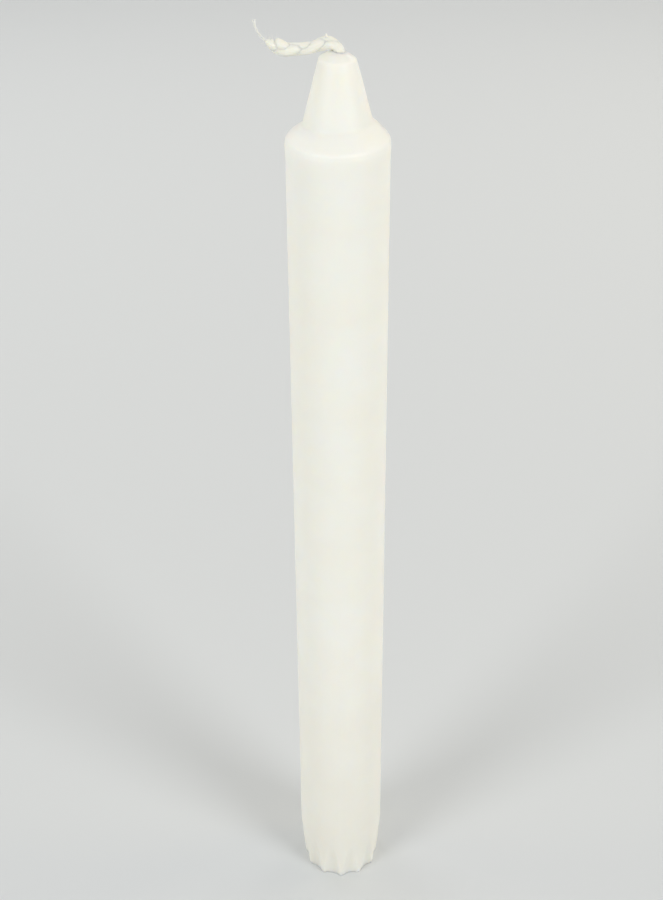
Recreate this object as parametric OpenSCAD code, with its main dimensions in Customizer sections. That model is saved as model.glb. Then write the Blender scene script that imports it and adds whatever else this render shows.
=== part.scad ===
// Dinner candle: a moulded wax body with a cone tip and a fluted foot, and a plaited
// cotton wick of three strands that runs from the foot to the tip and bends over above it.
// Millimetres, +Z up, origin at the centre of the foot's flat face.

/* [Body] */
// Height of the wax from the foot to the flat of the tip
wax_h = 240; // [150:1:300]
// Diameter of the straight body
body_d = 23; // [18:0.5:32]

/* [Tip] */
// Diameter of the flat on the tip, measured to its sharp corner
tip_d = 8.1; // [6:0.1:11]
// Diameter of the cone where it meets the shoulder
cone_foot_d = 15.3; // [12.5:0.1:16.5]
// Height of the cone above the shoulder
cone_h = 13.9; // [9:0.1:24]
// Height of the sloping shoulder between the body and the cone
shoulder_h = 3.5; // [2.5:0.1:8]
// Rounding of the rim of the tip
tip_round = 0.6; // [0.5:0.1:1.6]
// Hollow rounding where the cone meets the shoulder
cone_fillet = 2.4; // [0.5:0.1:3]
// Rounding of the corner between the shoulder and the body
shoulder_round = 2.4; // [0.5:0.1:3]

/* [Foot] */
// Height over which the foot narrows
foot_h = 15; // [10:0.5:30]
// How much the foot's radius is smaller at the bottom than the body's
foot_taper = 1.1; // [0.5:0.1:2]
// Rounding of the bottom edge
foot_round = 0.3; // [0.1:0.05:0.6]
// Soft rounding where the foot runs into the body
foot_blend = 12; // [4:1:16]
// Number of flutes around the foot
flute_count = 12; // [8:1:16]
// Depth of a flute at the bottom
flute_depth = 0.95; // [0.7:0.05:1.5]
// Height at which the flutes run out
flute_h = 13; // [8:0.5:20]
// Width of the rib left between two flutes at the bottom
rib_land = 0.7; // [0.3:0.05:1.2]

/* [Wick] */
// Diameter of one strand of the plait
strand_d = 0.9; // [0.7:0.02:1.1]
// Space between two strands where they lie against each other
strand_gap = 0.06; // [0.04:0.01:0.15]
// Length of one full cross and return of a strand
plait_lay = 16; // [8:0.5:20]
// Slow turn of the flat plait about its own length over the free end, in degrees
plait_turn = 75; // [0:5:120]
// Space left around the wick inside its hole in the wax
wick_clearance = 0.03; // [0.02:0.01:0.2]
// How far above the foot's face the wick is trimmed off inside its hole
wick_recess = 0.4; // [0.1:0.1:3]
// Diameter of the single yarn that has come loose at the end
yarn_d = 0.5; // [0.3:0.02:0.6]

/* [Hidden] */

body_r = body_d / 2;
cone_z = wax_h - cone_h;
shoulder_z = cone_z - shoulder_h;
foot_r = body_r - foot_taper;
strand_pitch = strand_d + strand_gap;
plait_half_w = strand_pitch;  // a strand swings this far to each side across the plait
plait_slant = norm([1, 2 * PI * plait_half_w / plait_lay]);
plait_half_t = strand_pitch * plait_slant / sqrt(3);  // and rises and dips this far through it
plait_reach = max([for (turn = [0 : 5 : 360]) norm(plait_place(turn))]);
bore_r = plait_reach + strand_d / 2 + wick_clearance;
cut = 1;                    // how far a cutter runs past what it cuts
arc_steps = 10;             // pieces in each rounded corner of the outline
strand_sides = 8;
yarn_sides = 6;
plait_start = wax_h - 3;    // the strands lie side by side below this and cross above it

// Outline of the wax from the hole at the foot to the hole at the tip: [radius, height, rounding]
outline = [
  [bore_r, 0, 0],
  [foot_r, 0, foot_round],
  [body_r, foot_h, foot_blend],
  [body_r, shoulder_z, shoulder_round],
  [cone_foot_d / 2, cone_z, cone_fillet],
  [tip_d / 2, wax_h, tip_round],
  [bore_r, wax_h, 0]
];

// The wick's free end: [across, out of the plane, above the tip], from the tip to the frayed end
free_route = [
  [0, 0, 0],
  [0.2, 0, 1],
  [0, 0, 2.1],
  [-0.8, 0, 2.95],
  [-1.9, 0, 3.3],
  [-3.2, 0.1, 3.05],
  [-5.5, 0.2, 2.25],
  [-8.2, 0.3, 1.9],
  [-10.5, 0.2, 1.9],
  [-12.5, 0, 2.65],
  [-13.9, -0.2, 3.25],
  [-15, -0.3, 4]
];

// The loose yarn beyond the end of its strand, up to its curled tip
yarn_route = [
  [-16.3, -0.2, 5.2],
  [-17.1, 0.1, 6.8],
  [-17.45, 0.4, 8.6]
];

function unit(v) = v / norm(v);
function turned(v, a) = [v[0] * cos(a) - v[1] * sin(a), v[0] * sin(a) + v[1] * cos(a)];

// Points of the arc that rounds corner b between its neighbours a and c
function corner(a, b, c, r) =
  let (
    u = unit(a - b),
    w = unit(c - b),
    half = acos(u * w) / 2,
    centre = b + unit(u + w) * r / sin(half),
    from = b + u * r / tan(half) - centre,
    side = sign(cross(-u, w)),
    sweep = (180 - 2 * half) * side
  )
  r == 0 ? [b] : [for (i = [0 : arc_steps]) centre + turned(from, sweep * i / arc_steps)];

function flat2(p) = [p[0], p[1]];
function rounded(path) = [
  for (i = [0 : len(path) - 1])
    let (
      before = flat2(path[max(i - 1, 0)]),
      after = flat2(path[min(i + 1, len(path) - 1)])
    )
    each corner(before, flat2(path[i]), after, path[i][2])
];

// A smooth curve through the route's points, at t from 0 to the number of spans
function on_route(route, t) =
  let (
    last = len(route) - 1,
    i = min(floor(t), last - 1),
    f = t - i,
    p1 = route[i],
    p2 = route[i + 1],
    p0 = i > 0 ? route[i - 1] : 2 * p1 - p2,
    p3 = i + 2 <= last ? route[i + 2] : 2 * p2 - p1
  )
  (2 * p1 + (p2 - p0) * f + (2 * p0 - 5 * p1 + 4 * p2 - p3) * f * f
    + (3 * p1 - p0 - 3 * p2 + p3) * f * f * f) / 2;

function running_length(points, i = 1, total = 0) =
  i >= len(points) ? [total]
    : concat([total], running_length(points, i + 1, total + norm(points[i] - points[i - 1])));

// Direction of a line of points at each of them
function headings(points) = [
  for (i = [0 : len(points) - 1])
    unit(points[min(i + 1, len(points) - 1)] - points[max(i - 1, 0)])
];

// A closed tube through the centres, with its own radius at each ring
module tube(centres, radii, sides) {
  ways = headings(centres);
  rings = len(centres);
  points = [
    for (i = [0 : rings - 1])
      let (
        across = unit(cross([0, 1, 0], ways[i])),
        up = cross(ways[i], across)
      )
      for (k = [0 : sides - 1])
        centres[i] + radii[i] * (across * cos(360 * k / sides) + up * sin(360 * k / sides))
  ];
  walls = [
    for (i = [0 : rings - 2])
      for (k = [0 : sides - 1])
        let (
          a = i * sides + k,
          b = i * sides + (k + 1) % sides
        )
        each [[a, a + sides, b], [b, a + sides, b + sides]]
  ];
  first = [for (k = [0 : sides - 1]) k];
  last = [for (k = [sides - 1 : -1 : 0]) (rings - 1) * sides + k];
  polyhedron(points, concat([first], walls, [last]), convexity = 8);
}

// Wax body ------------------------------------------------------------------

// The flutes are cut by leaning round bars, so each is deepest at the bottom and dies out upwards
module flute_cutters() {
  floor_r = foot_r - flute_depth;
  half_turn = 180 / flute_count - asin(rib_land / 2 / foot_r);
  bar_r = (floor_r * floor_r + foot_r * foot_r - 2 * foot_r * floor_r * cos(half_turn))
    / (2 * (foot_r * cos(half_turn) - floor_r));
  wall_r = foot_r + foot_taper * min(flute_h / foot_h, 1);
  lean = atan((wall_r - floor_r) / flute_h);
  bar_length = (flute_h + foot_h) / cos(lean);
  for (i = [0 : flute_count - 1])
    rotate([0, 0, (i + 0.5) * 360 / flute_count - 90])
      translate([floor_r + bar_r, 0, 0])
        rotate([0, lean, 0])
          translate([0, 0, -2 * cut])
            cylinder(r = bar_r, h = bar_length, $fn = 64);
}

module wax_body() {
  color("ivory")
    difference() {
      rotate_extrude($fn = 96) polygon(rounded(outline));
      flute_cutters();
    }
}

// Wick ----------------------------------------------------------------------

tip = [0, 0, wax_h];
rings_per_span = 4;
lead_in = wax_h - plait_start;
lead_rings = 4;
free_centres = [
  for (i = [0 : (len(free_route) - 1) * rings_per_span])
    tip + on_route(free_route, i / rings_per_span)
];
free_ways = headings(free_centres);
free_along = running_length(free_centres);
free_length = free_along[len(free_along) - 1];

// Where a strand sits in the plait, across it and through it, at its turn in the crossing
function plait_place(turn) = [plait_half_w * sin(turn), plait_half_t * sin(2 * turn)];

// A point beside the plait's centre line, for a place across and through the plait
function beside(centre, way, place) =
  let (
    through = unit(cross([0, 1, 0], way)),
    across = cross(way, through)
  )
  centre + across * place[0] + through * place[1];

// The strands thin out at the very end, and the plait opens a little just before it
function thinning(left) = min(1, 0.55 + 0.25 * left);
function opening(left) = left > 5 ? 1 : 1 + 0.2 * sin(36 * left);

function strand_centres(start_turn) = concat(
  [beside([0, 0, wick_recess], [0, 0, 1], plait_place(start_turn))],
  [
    for (i = [0 : lead_rings - 1])
      let (along = lead_in * i / lead_rings)
      beside([0, 0, plait_start + along], [0, 0, 1], plait_place(start_turn + 360 * along / plait_lay))
  ],
  [
    for (i = [0 : len(free_centres) - 1])
      let (
        along = free_along[i],
        left = free_length - along,
        place = plait_place(start_turn + 360 * (lead_in + along) / plait_lay)
      )
      beside(
        free_centres[i],
        free_ways[i],
        turned(place, plait_turn * along / free_length) * thinning(left) * opening(left)
      )
  ]
);

strand_radii = concat(
  [for (i = [0 : lead_rings]) strand_d / 2],
  [for (along = free_along) strand_d / 2 * thinning(free_length - along)]
);

module strand(start_turn) {
  color("whitesmoke") tube(strand_centres(start_turn), strand_radii, strand_sides);
}

module wick_strand_left() {
  strand(0);
}

module wick_strand_middle() {
  strand(120);
}

module wick_strand_right() {
  strand(240);
}

// The loose yarn carries on from the end face of the middle strand
module loose_yarn() {
  root_line = strand_centres(120);
  root = root_line[len(root_line) - 1];
  way = unit(root - root_line[len(root_line) - 2]);
  bends = concat([root + 0.5 * way], [for (p = yarn_route) tip + p]);
  steps = 4;
  rings = (len(bends) - 1) * steps;
  centres = concat([root], [for (i = [0 : rings]) on_route(bends, i / steps)]);
  radii = [for (i = [0 : rings + 1]) yarn_d / 2 * (1 - 0.3 * i / rings)];
  color("white") tube(centres, radii, yarn_sides);
}

wax_body();
wick_strand_left();
wick_strand_middle();
wick_strand_right();
loose_yarn();
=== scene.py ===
import math
import random

import bmesh
import bpy
from mathutils import Matrix, Vector


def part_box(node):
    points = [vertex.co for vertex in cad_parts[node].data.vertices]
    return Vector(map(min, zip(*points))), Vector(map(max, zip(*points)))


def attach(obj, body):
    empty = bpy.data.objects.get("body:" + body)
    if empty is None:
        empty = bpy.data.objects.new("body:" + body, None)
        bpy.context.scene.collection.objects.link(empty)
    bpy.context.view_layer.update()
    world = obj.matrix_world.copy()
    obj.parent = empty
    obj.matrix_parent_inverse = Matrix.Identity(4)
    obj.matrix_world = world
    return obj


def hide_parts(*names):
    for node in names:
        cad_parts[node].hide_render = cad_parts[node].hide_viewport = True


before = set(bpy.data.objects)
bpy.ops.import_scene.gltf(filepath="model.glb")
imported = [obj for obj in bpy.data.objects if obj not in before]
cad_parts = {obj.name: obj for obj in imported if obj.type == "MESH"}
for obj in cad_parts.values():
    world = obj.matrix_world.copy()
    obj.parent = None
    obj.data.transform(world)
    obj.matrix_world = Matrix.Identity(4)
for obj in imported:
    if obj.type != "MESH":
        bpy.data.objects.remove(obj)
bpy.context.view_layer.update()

mm = 0.001
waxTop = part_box("wax_body")[1].z  # the flat of the tip
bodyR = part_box("wax_body")[1].x  # the straight body's radius
tip = Vector((0, 0, waxTop))

# ---- camera, first, so every piece is judged through it
view = {
    "distance": 304.6 * mm,  # in front of the candle's axis
    "height": 339.7 * mm,
    "aside": -1.91 * mm,
    "lookDown": 33.0,  # degrees below level
    "roll": -0.447,
    "lens": 59.0,  # on a sensor 36 mm high
}


def setCamera():
    data = bpy.data.cameras.new("camera")
    data.sensor_fit = "VERTICAL"
    data.sensor_height = 36
    data.lens = view["lens"]
    data.clip_start = 10 * mm
    camera = bpy.data.objects.new("camera", data)
    bpy.context.collection.objects.link(camera)
    camera.location = (view["aside"], -view["distance"], view["height"])
    camera.rotation_euler = (math.radians(90 - view["lookDown"]), 0, 0)
    camera.rotation_euler.rotate_axis("Z", math.radians(view["roll"]))
    bpy.context.scene.camera = camera


setCamera()
print("camera set")


# ---- materials
def paint(hexColour):  # sRGB hex to the linear colour a shader takes
    parts = [int(hexColour[i:i + 2], 16) / 255 for i in (1, 3, 5)]
    return tuple(c / 12.92 if c <= 0.04045 else ((c + 0.055) / 1.055) ** 2.4 for c in parts) + (1.0,)


def addNode(tree, kind, settings, links=None):  # settings: fields or sockets, links: socket -> output
    node = tree.nodes.new("ShaderNode" + kind)
    for name, value in settings.items():
        if name in node.inputs:
            node.inputs[name].default_value = value
        else:
            setattr(node, name, value)
    for name, output in (links or {}).items():
        tree.links.new(output, node.inputs[name])
    return node


def newMaterial(name):
    material = bpy.data.materials.new(name)
    material.use_nodes = True
    return material, material.node_tree, material.node_tree.nodes["Principled BSDF"]


def setSockets(shader, values):
    for name, value in values.items():
        shader.inputs[name].default_value = value


def mouldedWax():  # poured paraffin with stearin: milky, soft inside, a dull satin skin
    look = {
        "clear": "#F8F7ED",
        "milky": "#F6F4E9",
        "cloud": 14 * mm,  # size of the milky patches left as it set
        "grain": 0.9 * mm,  # crystals of the skin; really 0.1 mm, coarse enough here to show
        "drawLine": 0.8 * mm,  # faint lines along the mould, this far apart
        "drawLong": 45 * mm,
        "depth": 2.6 * mm,  # how far light travels in the wax
        "paintedShadeAtFoot": 0.915,  # painted shade: the base colour is darkened towards the foot, a fall of light that the lamps alone don't give
        "footReach": 100 * mm,  # height at which that has faded out
    }
    material, tree, shader = newMaterial("mouldedWax")
    place = addNode(tree, "TexCoord", {}).outputs["Object"]
    cloud = addNode(tree, "TexNoise", {"Scale": 1 / look["cloud"], "Detail": 3.0, "Roughness": 0.45},
                    {"Vector": place})
    tone = addNode(tree, "ValToRGB", {}, {"Fac": cloud.outputs["Fac"]})
    tone.color_ramp.elements[0].position = 0.35
    tone.color_ramp.elements[0].color = paint(look["milky"])
    tone.color_ramp.elements[1].position = 0.65
    tone.color_ramp.elements[1].color = paint(look["clear"])
    height = addNode(tree, "SeparateXYZ", {}, {"Vector": place}).outputs["Z"]
    # painted shade: the base colour darkens from footReach down to the foot
    paintedShade = addNode(tree, "MapRange", {"From Max": look["footReach"], "To Min": look["paintedShadeAtFoot"]},
                     {"Value": height})
    body = addNode(tree, "HueSaturation", {},
                   {"Color": tone.outputs["Color"], "Value": paintedShade.outputs["Result"]})
    grain = addNode(tree, "TexNoise", {"Scale": 1 / look["grain"], "Detail": 2.0}, {"Vector": place})
    stretched = addNode(tree, "Mapping", {"Scale": (1.0, 1.0, look["drawLine"] / look["drawLong"])},
                        {"Vector": place})
    lines = addNode(tree, "TexNoise", {"Scale": 1 / look["drawLine"], "Detail": 1.0},
                    {"Vector": stretched.outputs["Vector"]})
    skin = addNode(tree, "Bump", {"Strength": 0.10, "Distance": 0.05 * mm}, {"Height": grain.outputs["Fac"]})
    drawn = addNode(tree, "Bump", {"Strength": 0.12, "Distance": 0.05 * mm},
                    {"Height": lines.outputs["Fac"], "Normal": skin.outputs["Normal"]})
    dull = addNode(tree, "MapRange", {"To Min": 0.40, "To Max": 0.50}, {"Value": cloud.outputs["Fac"]})
    tree.links.new(body.outputs["Color"], shader.inputs["Base Color"])
    tree.links.new(dull.outputs["Result"], shader.inputs["Roughness"])
    tree.links.new(drawn.outputs["Normal"], shader.inputs["Normal"])
    setSockets(shader, {
        "Subsurface Weight": 1.0,
        "Subsurface Radius": (1.0, 0.9, 0.75),
        "Subsurface Scale": look["depth"],
        "IOR": 1.43,
        "Specular IOR Level": 0.5,
    })
    return material


def waxedCotton():  # plaited cotton dipped in wax: fine streaks along each strand, a soft fuzzy edge
    look = {
        "fibre": "#F4F3EA",
        "waxed": "#EFEEDD",
        "streakAcross": 0.28 * mm,  # streaks of fibres; a fibre is 0.02 mm, coarse enough here to show
        "streakAlong": 2.6 * mm,
        "round": 5.6 * mm,  # about the length once round a strand, which the map takes as 1
    }
    material, tree, shader = newMaterial("waxedCotton")
    place = addNode(tree, "TexCoord", {}).outputs["UV"]
    ways = (look["round"] / look["streakAcross"], 1 / (look["streakAlong"] / mm), 1.0)
    scaled = addNode(tree, "Mapping", {"Scale": ways}, {"Vector": place})
    streak = addNode(tree, "TexNoise", {"Scale": 1.0, "Detail": 3.0, "Roughness": 0.6},
                     {"Vector": scaled.outputs["Vector"]})
    tone = addNode(tree, "ValToRGB", {}, {"Fac": streak.outputs["Fac"]})
    tone.color_ramp.elements[0].position = 0.3
    tone.color_ramp.elements[0].color = paint(look["waxed"])
    tone.color_ramp.elements[1].position = 0.7
    tone.color_ramp.elements[1].color = paint(look["fibre"])
    ridge = addNode(tree, "Bump", {"Strength": 0.4, "Distance": 0.03 * mm}, {"Height": streak.outputs["Fac"]})
    tree.links.new(tone.outputs["Color"], shader.inputs["Base Color"])
    tree.links.new(ridge.outputs["Normal"], shader.inputs["Normal"])
    setSockets(shader, {
        "Roughness": 0.62,
        "Subsurface Weight": 0.8,
        "Subsurface Radius": (1.0, 0.9, 0.75),
        "Subsurface Scale": 0.6 * mm,
        "Sheen Weight": 0.1,
        "IOR": 1.46,
    })
    return material


def paperSweep():  # matt studio paper under and behind the candle
    material, tree, shader = newMaterial("paperSweep")
    place = addNode(tree, "TexCoord", {}).outputs["Object"]
    tooth = addNode(tree, "TexNoise", {"Scale": 1 / (1.5 * mm), "Detail": 1.0}, {"Vector": place})
    skin = addNode(tree, "Bump", {"Strength": 0.05, "Distance": 0.05 * mm}, {"Height": tooth.outputs["Fac"]})
    tree.links.new(skin.outputs["Normal"], shader.inputs["Normal"])
    setSockets(shader, {"Base Color": paint("#D9DCDC"), "Roughness": 0.9, "Specular IOR Level": 0.2})
    return material


wax = mouldedWax()
cotton = waxedCotton()
print("materials made")


# ---- small helpers for modelling
def startAfresh():
    if bpy.context.object and bpy.context.object.mode != "OBJECT":
        bpy.ops.object.mode_set(mode="OBJECT")
    bpy.ops.object.select_all(action="DESELECT")


def pick(piece, test):  # in edit mode, selects the vertices that pass and no others
    mesh = bmesh.from_edit_mesh(piece.data)
    for vertex in mesh.verts:
        vertex.select = test(vertex.co)
    mesh.select_flush_mode()
    bmesh.update_edit_mesh(piece.data)


def applyAll(piece):
    startAfresh()
    bpy.context.view_layer.objects.active = piece
    piece.select_set(True)
    for modifier in list(piece.modifiers):
        bpy.ops.object.modifier_apply(modifier=modifier.name)


def handIn(piece, name, material, slot, *nodes):
    piece.name = name
    piece.data.name = name
    piece.data.materials.clear()
    piece.data.materials.append(material)
    startAfresh()
    piece.select_set(True)
    bpy.context.view_layer.objects.active = piece
    bpy.ops.object.shade_smooth()
    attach(piece, "root")
    if nodes:
        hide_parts(*nodes)


# ---- wax body, turned ring by ring from the hole in the foot, up the outside and down the hole
waxBody = {
    "columns": 144,
    "holeR": 1.46 * mm,
    "tipR": 4.05 * mm,  # to the sharp corners that the roundings then take off
    "coneFootR": 7.65 * mm,
    "coneH": 13.9 * mm,
    "shoulderH": 3.5 * mm,
    "tipRound": 0.8 * mm,
    "tipLean": -2.4,  # degrees the dome rises towards +X, so here it rises towards -X
    "coneFillet": 2.4 * mm,
    "shoulderRound": 1.7 * mm,
    "shoulderLean": 2.2,  # degrees the top of the shoulder rises towards +X
    "seam": [(-3.2, 0.0), (-2.2, 0.06), (-1.2, 0.11), (-0.4, 0.1)],  # mould's soft ridge: mm up, mm out
    "footH": 15 * mm,
    "footTaper": 1.1 * mm,
    "footRound": 0.2 * mm,
    "footBlend": 12 * mm,
    "ringEvery": 8 * mm,  # up the straight body
    "underside": [0, 0.2, 1.5, 4, 7],  # mm out from the hole
    "shoulderBand": (-2 * mm, 1.2 * mm),  # from the cone's foot, the rings that lean with the shoulder
    "tipBand": -0.6 * mm,  # from the tip, and up: the rings that lean with the dome
    # the dome of wax up the wick, and down again inside it: mm out, mm above the tip
    "neck": [(3.1, 0.58), (2.6, 0.95), (2.2, 1.18), (1.85, 1.35), (1.58, 1.47), (1.38, 1.57), (1.22, 1.66),
             (1.06, 1.7), (0.9, 1.55), (0.75, 1.0), (0.75, -0.8), (1.1, -1.5), (1.46, -2.2)],
}

flutes = {
    "count": 12,
    "depth": 0.95 * mm,
    "runOut": 13 * mm,
    "ribLand": 0.7 * mm,
    "soft": 0.07 * mm,  # rounding of the ribs' edges
    "rings": 11,
}


def corner(before, at, after, radius, steps):  # the arc that rounds one corner of the outline
    at = Vector(at)
    toBefore = (Vector(before) - at).normalized()
    toAfter = (Vector(after) - at).normalized()
    half = toBefore.angle(toAfter) / 2
    centre = at + (toBefore + toAfter).normalized() * radius / math.sin(half)
    start = at + toBefore * radius / math.tan(half) - centre
    end = at + toAfter * radius / math.tan(half) - centre
    sweep = start.angle(end)
    points = []
    for i in range(steps + 1):
        share = i / steps
        a = math.sin((1 - share) * sweep) / math.sin(sweep)
        b = math.sin(share * sweep) / math.sin(sweep)
        points.append(centre + start * a + end * b)
    return points


def along(a, b, count):  # rings between two points of the outline, both left out
    return [Vector(a).lerp(Vector(b), i / (count + 1)) for i in range(1, count + 1)]


def waxOutline():
    w = waxBody
    coneZ = waxTop - w["coneH"]
    shoulderZ = coneZ - w["shoulderH"]
    footR = bodyR - w["footTaper"]
    hole, edge = (w["holeR"], 0), (footR, 0)
    footTop, shoulder = (bodyR, w["footH"]), (bodyR, shoulderZ)
    coneFoot, rim = (w["coneFootR"], coneZ), (w["tipR"], waxTop)
    foot = corner(hole, edge, footTop, w["footRound"], 3)
    blend = corner(edge, footTop, shoulder, w["footBlend"], 3)
    turn = corner(footTop, shoulder, coneFoot, w["shoulderRound"], 5)
    fillet = corner(shoulder, coneFoot, rim, w["coneFillet"], 3)
    neck = [Vector((r * mm, waxTop + z * mm)) for r, z in w["neck"]]
    top = corner(coneFoot, rim, neck[0], w["tipRound"], 5)
    bodyRings = round((shoulderZ - w["footH"]) / w["ringEvery"])
    seam = [Vector((bodyR + out * mm, turn[0].y + z * mm)) for z, out in w["seam"]]
    under = [Vector((w["holeR"] + step * mm, 0)) for step in w["underside"]]
    return (under + [Vector((footR - 0.8 * mm, 0))] + foot
            + along(foot[-1], blend[0], flutes["rings"]) + blend
            + along(blend[-1], seam[0], bodyRings) + seam + turn
            + along(turn[-1], fillet[0], 2) + fillet
            + along(fillet[-1], top[0], 5) + top + neck
            + along(neck[-1], (w["holeR"], 0), 3) + [Vector((w["holeR"], 0.25 * mm))])


def flutedR(wallR, height, off):  # the wall's radius at an angle off a flute's middle, soft at the rib
    w, f = waxBody, flutes
    footR = bodyR - w["footTaper"]
    floorR = footR - f["depth"]
    halfTurn = math.pi / f["count"] - math.asin(f["ribLand"] / 2 / footR)
    barR = ((floorR ** 2 + footR ** 2 - 2 * footR * floorR * math.cos(halfTurn))
            / (2 * (footR * math.cos(halfTurn) - floorR)))
    lean = (footR + w["footTaper"] * f["runOut"] / w["footH"] - floorR) / f["runOut"]
    middle = floorR + barR + height * lean
    if middle * math.sin(off) >= barR:
        return wallR
    barFace = middle * math.cos(off) - math.sqrt(barR ** 2 - (middle * math.sin(off)) ** 2)
    gap = wallR - barFace
    return wallR - (gap + math.sqrt(gap ** 2 + f["soft"] ** 2)) / 2 + f["soft"] ** 2 / (
        2 * (abs(gap) + math.sqrt(gap ** 2 + f["soft"] ** 2)))


def buildWaxBody():
    w = waxBody
    outline = waxOutline()
    startAfresh()
    bpy.ops.mesh.primitive_circle_add(vertices=w["columns"], radius=outline[0].x,
                                      location=(0, 0, outline[0].y), fill_type="NOTHING")
    piece = bpy.context.object
    piece.data.transform(piece.matrix_world)
    piece.matrix_world.identity()
    bpy.ops.object.mode_set(mode="EDIT")
    bpy.ops.mesh.select_mode(type="VERT")
    bpy.ops.mesh.select_all(action="SELECT")
    for last, ring in zip(outline, outline[1:]):
        bpy.ops.mesh.extrude_region_move(TRANSFORM_OT_translate={"value": (0, 0, ring.y - last.y)})
        grow = ring.x / last.x
        bpy.ops.transform.resize(value=(grow, grow, 1), center_override=(0, 0, ring.y))
    bpy.ops.mesh.select_all(action="DESELECT")
    pick(piece, lambda co: co.xy.length < w["holeR"] * 1.01 and co.z < 0.3 * mm)
    bpy.ops.mesh.bridge_edge_loops()
    return piece, outline


def pressFlutes(piece, outline):
    f = flutes
    perFlute = waxBody["columns"] // f["count"]
    step = 2 * math.pi / waxBody["columns"]
    rings = [p for p in outline if p.x > 8 * mm and p.y < f["runOut"] * 1.1]
    for ring in rings:
        for column in range(perFlute // 2 + 1):
            off = column * step
            wallR = max(ring.x, bodyR - waxBody["footTaper"]) if ring.y < 0.01 * mm else ring.x
            grow = flutedR(wallR, ring.y, off) / wallR
            if abs(grow - 1) < 1e-5:
                continue

            def inColumn(co):
                turn = (math.atan2(co.x, -co.y) / step - perFlute / 2) % perFlute
                near = min(turn, perFlute - turn)
                return (abs(co.z - ring.y) < 1e-6 and abs(co.xy.length - ring.x) < 1e-5
                        and abs(near - column) < 0.1)

            pick(piece, inColumn)
            bpy.ops.transform.resize(value=(grow, grow, 1), center_override=(0, 0, 0))


def leanRings(piece, test, degrees, height):  # turns the chosen rings round a line along Y
    pick(piece, test)
    bpy.ops.transform.rotate(value=math.radians(degrees), orient_axis="Y", center_override=(0, 0, height))


def leanTop(piece):
    w = waxBody
    coneZ = waxTop - w["coneH"]
    low, high = w["shoulderBand"]
    outer = w["coneFootR"] - 0.5 * mm
    leanRings(piece, lambda co: co.xy.length > outer and coneZ + low < co.z < coneZ + high,
              w["shoulderLean"], coneZ)
    leanRings(piece, lambda co: co.xy.length > 0.8 * mm and co.z > waxTop + w["tipBand"],
              w["tipLean"], waxTop)


def finishWaxBody(piece):
    bpy.ops.mesh.select_all(action="SELECT")
    bpy.ops.mesh.remove_doubles(threshold=0.001 * mm)
    bpy.ops.mesh.normals_make_consistent(inside=False)
    bpy.ops.object.mode_set(mode="OBJECT")
    smooth = piece.modifiers.new("smooth", "SUBSURF")
    smooth.levels = smooth.render_levels = 1
    applyAll(piece)
    print("wax body", len(piece.data.polygons), "faces")
    handIn(piece, "waxBody", wax, "wax", "wax_body")


candleWax, waxRings = buildWaxBody()
pressFlutes(candleWax, waxRings)
leanTop(candleWax)
finishWaxBody(candleWax)


# ---- wick: three strands packed against each other, each with its yarns, from the foot to the free end
wick = {
    "strandR": 1.05 * mm,  # as far as a strand swells where nothing presses on it
    "halfWide": 0.27 * mm,  # a strand's swing across the plait
    "halfThick": 0.2 * mm,
    "lay": 16 * mm,
    "turn": 75.0,  # degrees the flat plait turns over the free end
    "start": 237 * mm,
    "press": 0.15 * mm,  # how far a strand squeezes past the line halfway to its neighbour
    "yarns": 6,
    "yarnRelief": 0.03 * mm,
    "yarnLay": 9 * mm,
    "sides": 42,
    "trimmedAt": 0.4 * mm,  # above the foot's face
    "buriedRings": 170,
    "ringsPerSpan": 20,  # between two points of the route
    "edge": 16,  # how sharply a strand turns where it meets its neighbour
    "blunt": 0.3,  # size of a strand's very end
    "route": [(0, 0, 0), (0.2, 0, 1), (0, 0, 2.1), (-0.8, 0, 2.95), (-1.9, 0, 3.3), (-3.2, 0.1, 3.05),
              (-5.5, 0.2, 2.25), (-8.2, 0.3, 1.9), (-10.5, 0.2, 1.9), (-12.5, 0, 2.65),
              (-13.9, -0.2, 3.25), (-15, -0.3, 4)],  # mm from the tip
    "swell": [(-240, 1.08), (-3, 1.05), (-0.5, 1.12), (1.3, 1.12), (3, 1.0), (5, 1.1), (8, 1.1),
              (10.5, 0.98), (12.5, 1.14), (14, 1.24), (15.8, 1.26), (16.8, 1.0), (17.7, 0.64),
              (19.2, 0.5)],  # mm along, size
    "gather": [(15.4, 1.0), (17.6, 0.2)],  # the last strand comes to the middle
}
strands = {"wick_strand_left": 0, "wick_strand_middle": 120, "wick_strand_right": 240}
endings = {  # how short of the end a strand stops, and over what length it rounds off
    "wick_strand_left": (1.5 * mm, 0.9 * mm),
    "wick_strand_middle": (0, 0.8 * mm),
    "wick_strand_right": (1.3 * mm, 0.9 * mm),
}


def curvePoint(points, t):  # a smooth curve through the points, at t from 0 to the number of spans
    i = min(int(t), len(points) - 2)
    f = t - i
    p1, p2 = points[i], points[i + 1]
    p0 = points[i - 1] if i > 0 else 2 * p1 - p2
    p3 = points[i + 2] if i + 2 < len(points) else 2 * p2 - p1
    return (2 * p1 + (p2 - p0) * f + (2 * p0 - 5 * p1 + 4 * p2 - p3) * f ** 2
            + (3 * p1 - p0 - 3 * p2 + p3) * f ** 3) / 2


def sized(table, s):  # reads a table of place and size, eased between its rows
    for (a, sizeA), (b, sizeB) in zip(table, table[1:]):
        if s <= b:
            f = max(0, (s - a) / (b - a))
            return sizeA + (sizeB - sizeA) * f * f * (3 - 2 * f)
    return table[-1][1]


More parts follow.
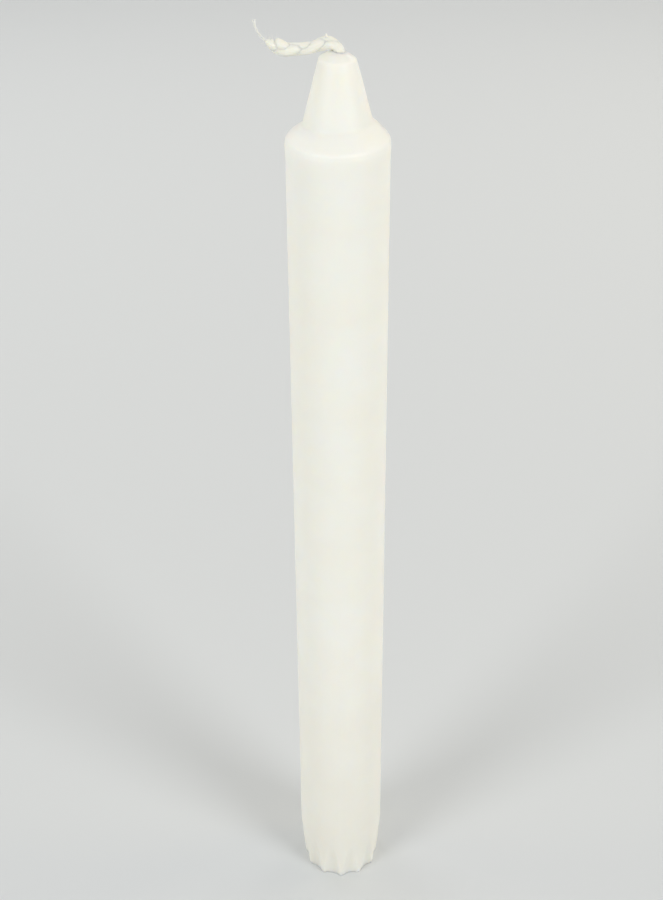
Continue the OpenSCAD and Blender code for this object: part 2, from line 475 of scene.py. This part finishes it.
def wickLine():  # the middle of the plait: place, heading and distance from the tip
    stations = [Vector((0, 0, wick["trimmedAt"])), Vector((0, 0, 1 * mm))]
    count = wick["buriedRings"]
    stations += [Vector((0, 0, 1 * mm + (waxTop - 1.6 * mm) * i / count)) for i in range(1, count + 1)]
    ahead = len(stations)
    freePoints = [tip + Vector(p) * mm for p in wick["route"]]
    perSpan = wick["ringsPerSpan"]
    spans = len(freePoints) - 1
    stations += [curvePoint(freePoints, i / perSpan) for i in range(spans * perSpan + 1)]
    distance = [0.0]
    for a, b in zip(stations, stations[1:]):
        distance.append(distance[-1] + (b - a).length)
    atTip = distance[ahead]
    line = []
    for i, p in enumerate(stations):
        way = (stations[min(i + 1, len(stations) - 1)] - stations[max(i - 1, 0)]).normalized()
        line.append((p, way, distance[i] - atTip))
    return line


def plaitPlace(turn):
    return Vector((wick["halfWide"] * math.sin(turn), wick["halfThick"] * math.sin(2 * turn)))


def reachOf(mine, angle, places, fullness):  # how far a strand goes before it meets a neighbour
    ray = Vector((math.cos(angle), math.sin(angle)))
    edge = wick["edge"]
    total = (1 / (wick["strandR"] * fullness[mine])) ** edge
    for other, place in enumerate(places):
        if other == mine or not fullness[other]:
            continue
        apart = place - places[mine]
        facing = ray.dot(apart.normalized())
        share = fullness[mine] / (fullness[mine] + fullness[other])
        if facing > 0.05:
            total += (facing / (apart.length * share + wick["press"])) ** edge
    return total ** (-1 / edge)


def fullnessOf(name, s, freeLength):  # 1 along a strand, easing off at its rounded end, 0 beyond it
    short, rounding = endings[name]
    left = freeLength - short - s
    blunt = wick["blunt"]
    return 0 if left < -1e-6 else min(1, blunt + (1 - blunt) * math.sqrt(max(0, left) / rounding))


def buildStrand(name, line):
    w = wick
    freeLength = line[-1][2]
    mine = list(strands).index(name)
    mesh = bmesh.new()
    rings, uvs = [], []
    for p, way, s in line:
        full = [fullnessOf(strand, s, freeLength) for strand in strands]
        if not full[mine]:
            break
        through = Vector((0, 1, 0)).cross(way).normalized()
        across = way.cross(through)
        size = sized(w["swell"], s / mm)
        full = [share * size for share in full]
        slowTurn = Matrix.Rotation(math.radians(w["turn"]) * max(0, s) / freeLength, 2)
        crossed = 2 * math.pi * (s + waxTop - w["start"]) / w["lay"]
        spin = [math.radians(a) + crossed for a in strands.values()]
        places = [plaitPlace(a) * size * sized(w["gather"], s / mm) for a in spin]
        ring, ringUv = [], []
        for k in range(w["sides"]):
            angle = 2 * math.pi * k / w["sides"]
            reach = reachOf(mine, angle, places, full)
            lobes = math.cos(w["yarns"] * angle - 2 * math.pi * s / w["yarnLay"])
            flat = places[mine] + Vector((math.cos(angle), math.sin(angle))) * (
                reach - w["yarnRelief"] * size * (1 - lobes) / 2)
            flat.rotate(slowTurn)
            ring.append(mesh.verts.new(p + across * flat.x + through * flat.y))
            ringUv.append((k / w["sides"], s / mm))
        rings.append(ring)
        uvs.append(ringUv)
    layer = mesh.loops.layers.uv.new("yarn")
    sides = w["sides"]
    for i in range(len(rings) - 1):
        for k in range(sides):
            n = (k + 1) % sides
            face = mesh.faces.new((rings[i][k], rings[i][n], rings[i + 1][n], rings[i + 1][k]))
            wrap = 1 if n == 0 else 0
            corners = (uvs[i][k], (uvs[i][n][0] + wrap, uvs[i][n][1]),
                       (uvs[i + 1][n][0] + wrap, uvs[i + 1][n][1]), uvs[i + 1][k])
            for loop, uv in zip(face.loops, corners):
                loop[layer].uv = uv
    for ring, step in ((rings[0], -1), (rings[-1], 1)):
        middle = sum((v.co for v in ring), Vector()) / sides
        hub = mesh.verts.new(middle)
        for k in range(sides):
            pair = (ring[k], ring[(k + 1) % sides])
            mesh.faces.new((hub, pair[1], pair[0]) if step < 0 else (hub, pair[0], pair[1]))
    bmesh.ops.recalc_face_normals(mesh, faces=mesh.faces)
    data = bpy.data.meshes.new(name)
    mesh.to_mesh(data)
    mesh.free()
    piece = bpy.data.objects.new(name, data)
    bpy.context.collection.objects.link(piece)
    pieceName = "".join(part.capitalize() if i else part for i, part in enumerate(name.split("_")))
    handIn(piece, pieceName, cotton, "wick_cotton", name)
    print(pieceName, len(piece.data.polygons), "faces")


middleLine = wickLine()
for strandName in strands:
    buildStrand(strandName, middleLine)


# ---- the loose yarn at the end, three plies that splay at the tip, and the stray fibres of the wick
yarn = {
    "route": [(-14.2, -0.25, 3.45), (-15, -0.3, 4), (-16.3, -0.2, 5.2), (-17.1, 0.1, 6.8),
              (-17.3, 0.35, 8.2)],  # mm from the tip
    "plies": 3,
    "plyR": 0.17 * mm,
    "apart": 0.17 * mm,  # from the yarn's middle to a ply's
    "thinsTo": 0.7,
    "twist": 3.4 * mm,
    "length": 6 * mm,
    "splay": 0.3 * mm,
    "splayFrom": 0.85,  # share of the length where the plies part
    "points": 48,
}


def hairCurve(name, sides):
    data = bpy.data.curves.new(name, "CURVE")
    data.dimensions = "3D"
    data.bevel_depth = 1.0
    data.bevel_resolution = sides
    data.use_fill_caps = True
    return data


def addHair(data, points, radii):
    spline = data.splines.new("POLY")
    spline.points.add(len(points) - 1)
    for place, p, r in zip(spline.points, points, radii):
        place.co = (*p, 1)
        place.radius = r


def curveToPiece(data, name, *nodes):
    startAfresh()
    piece = bpy.data.objects.new(name, data)
    bpy.context.collection.objects.link(piece)
    piece.select_set(True)
    bpy.context.view_layer.objects.active = piece
    bpy.ops.object.convert(target="MESH")
    piece = bpy.context.object
    handIn(piece, name, cotton, "wick_cotton", *nodes)
    print(name, len(piece.data.polygons), "faces")


def buildLooseYarn():
    y = yarn
    data = hairCurve("looseYarn", 1)
    route = [tip + Vector(p) * mm for p in y["route"]]
    for ply in range(y["plies"]):
        points, radii = [], []
        for i in range(y["points"] + 1):
            share = i / y["points"]
            t = share * (len(route) - 1)
            middle = curvePoint(route, t)
            way = (curvePoint(route, min(t + 0.05, len(route) - 1)) - curvePoint(route, max(t - 0.05, 0)))
            way.normalize()
            side = way.cross(Vector((0, 1, 0))).normalized()
            other = way.cross(side)
            turn = 2 * math.pi * (ply / y["plies"] + share * y["length"] / y["twist"])
            thin = 1 - (1 - y["thinsTo"]) * share
            parted = max(0, share - y["splayFrom"])
            out = y["apart"] * thin + y["splay"] * parted / (1 - y["splayFrom"])
            points.append(middle + (side * math.cos(turn) + other * math.sin(turn)) * out)
            radii.append(y["plyR"] * thin * (1 - 4 * parted))
        addHair(data, points, radii)
    curveToPiece(data, "looseYarn", "loose_yarn")


fuzz = {
    "count": 150,
    "hairR": 0.022 * mm,
    "shortest": 0.4 * mm,
    "longest": 1.3 * mm,
    "tailCount": 26,  # more of them near the frayed end, longer and thicker
    "tailRings": 40,
    "tailLonger": 1.4,
    "tailThicker": 1.3,
    "rootAt": 0.75 * mm,  # out from the wick's middle
    "firstAt": 0.8 * mm,  # along from the tip
    "seed": 7,
    "stub": [(-2.2, -0.3, 4.1), (-2.3, -0.3, 4.6), (-2.35, -0.3, 5.1), (-2.35, -0.28, 5.35)],
    "stubR": [0.27, 0.26, 0.24, 0.12],
}


def buildFuzz():
    f = fuzz
    rng = random.Random(f["seed"])
    data = hairCurve("strayFibres", 0)
    free = [row for row in middleLine if row[2] > f["firstAt"]]
    for i in range(f["count"] + f["tailCount"]):
        tail = i >= f["count"]
        first = len(free) - f["tailRings"] if tail else 0
        p, way, s = free[rng.randrange(first, len(free))]
        through = Vector((0, 1, 0)).cross(way).normalized()
        across = way.cross(through)
        angle = rng.uniform(0, 2 * math.pi)
        out = across * math.cos(angle) + through * math.sin(angle)
        size = sized(wick["swell"], s / mm)
        length = rng.uniform(f["shortest"], f["longest"]) * (f["tailLonger"] if tail else 1)
        lean = way * rng.uniform(0.5, 1.6) if tail else way * rng.uniform(-0.8, 1.2)
        bend = Vector((rng.uniform(-1, 1), rng.uniform(-1, 1), rng.uniform(-1, 1))) * 0.5
        root = p + out * f["rootAt"] * size
        direction = (out + lean).normalized()
        points = []
        for k in range(5):
            t = k / 4
            points.append(root + (direction * t + bend * t * t * 0.6) * length)
        radii = [f["hairR"] * (f["tailThicker"] if tail else 1) * (1 - 0.7 * k / 4) for k in range(5)]
        addHair(data, points, radii)
    addHair(data, [tip + Vector(q) * mm for q in f["stub"]], [r * mm for r in f["stubR"]])
    curveToPiece(data, "strayFibres")


buildLooseYarn()
buildFuzz()


# ---- floor and light
stageSet = {
    "floorSize": 6.0,
    "world": 0.39,
    "worldTint": "#F9F9FF",
    "candle": (0, 0, 0.15),  # what the softboxes point at
    "backdrop": (0, 1.0, 0),
    "lamps": [  # name, target, degrees round from the front and up, distance, size, watts, colour
        ("softboxRight", "candle", 48, 28, 2.2, 0.95, 18.6, "#FFFFFF"),
        ("softboxLeft", "candle", -48, 26, 2.2, 0.95, 17.4, "#FFFFFF"),
        ("sideRight", "candle", 100, 30, 2.2, 1.0, 5.6, "#FFEFC8"),
        ("sideLeft", "candle", -100, 30, 2.2, 1.0, 3.9, "#FFF6CC"),
        ("behindRight", "candle", 140, 30, 1.0, 0.6, 1.5, "#FFF8EA"),
        ("behindLeft", "candle", -140, 30, 1.0, 0.6, 1.45, "#FFFFFF"),
        ("farFloor", "backdrop", 0, 89, 0.7, 0.8, 0.75, "#FFFFFF"),
    ],
}


def buildFloor():
    startAfresh()
    bpy.ops.mesh.primitive_plane_add(size=stageSet["floorSize"], location=(0, 0, 0))
    floor = bpy.context.object
    floor.name = "floor"
    floor.data.materials.append(paperSweep())


def addSoftbox(name, target, azimuth, elevation, distance, size, power, colour):
    data = bpy.data.lights.new(name, "AREA")
    data.shape = "DISK"
    data.size = size
    data.energy = power
    data.color = paint(colour)[:3]
    lamp = bpy.data.objects.new(name, data)
    bpy.context.collection.objects.link(lamp)
    a, e = math.radians(azimuth), math.radians(elevation)
    aim = Vector(stageSet[target])
    outwards = Vector((math.sin(a) * math.cos(e), -math.cos(a) * math.cos(e), math.sin(e)))
    lamp.location = aim + outwards * distance
    lamp.rotation_euler = (aim - lamp.location).to_track_quat("-Z", "Y").to_euler()


def setWorld():
    world = bpy.data.worlds.new("world")
    world.use_nodes = True
    background = world.node_tree.nodes["Background"]
    background.inputs["Color"].default_value = paint(stageSet["worldTint"])
    background.inputs["Strength"].default_value = stageSet["world"]
    bpy.context.scene.world = world
    bpy.context.scene.view_settings.view_transform = "Standard"


buildFloor()
for lampFacts in stageSet["lamps"]:
    addSoftbox(*lampFacts)
setWorld()
print("floor and lamps set")
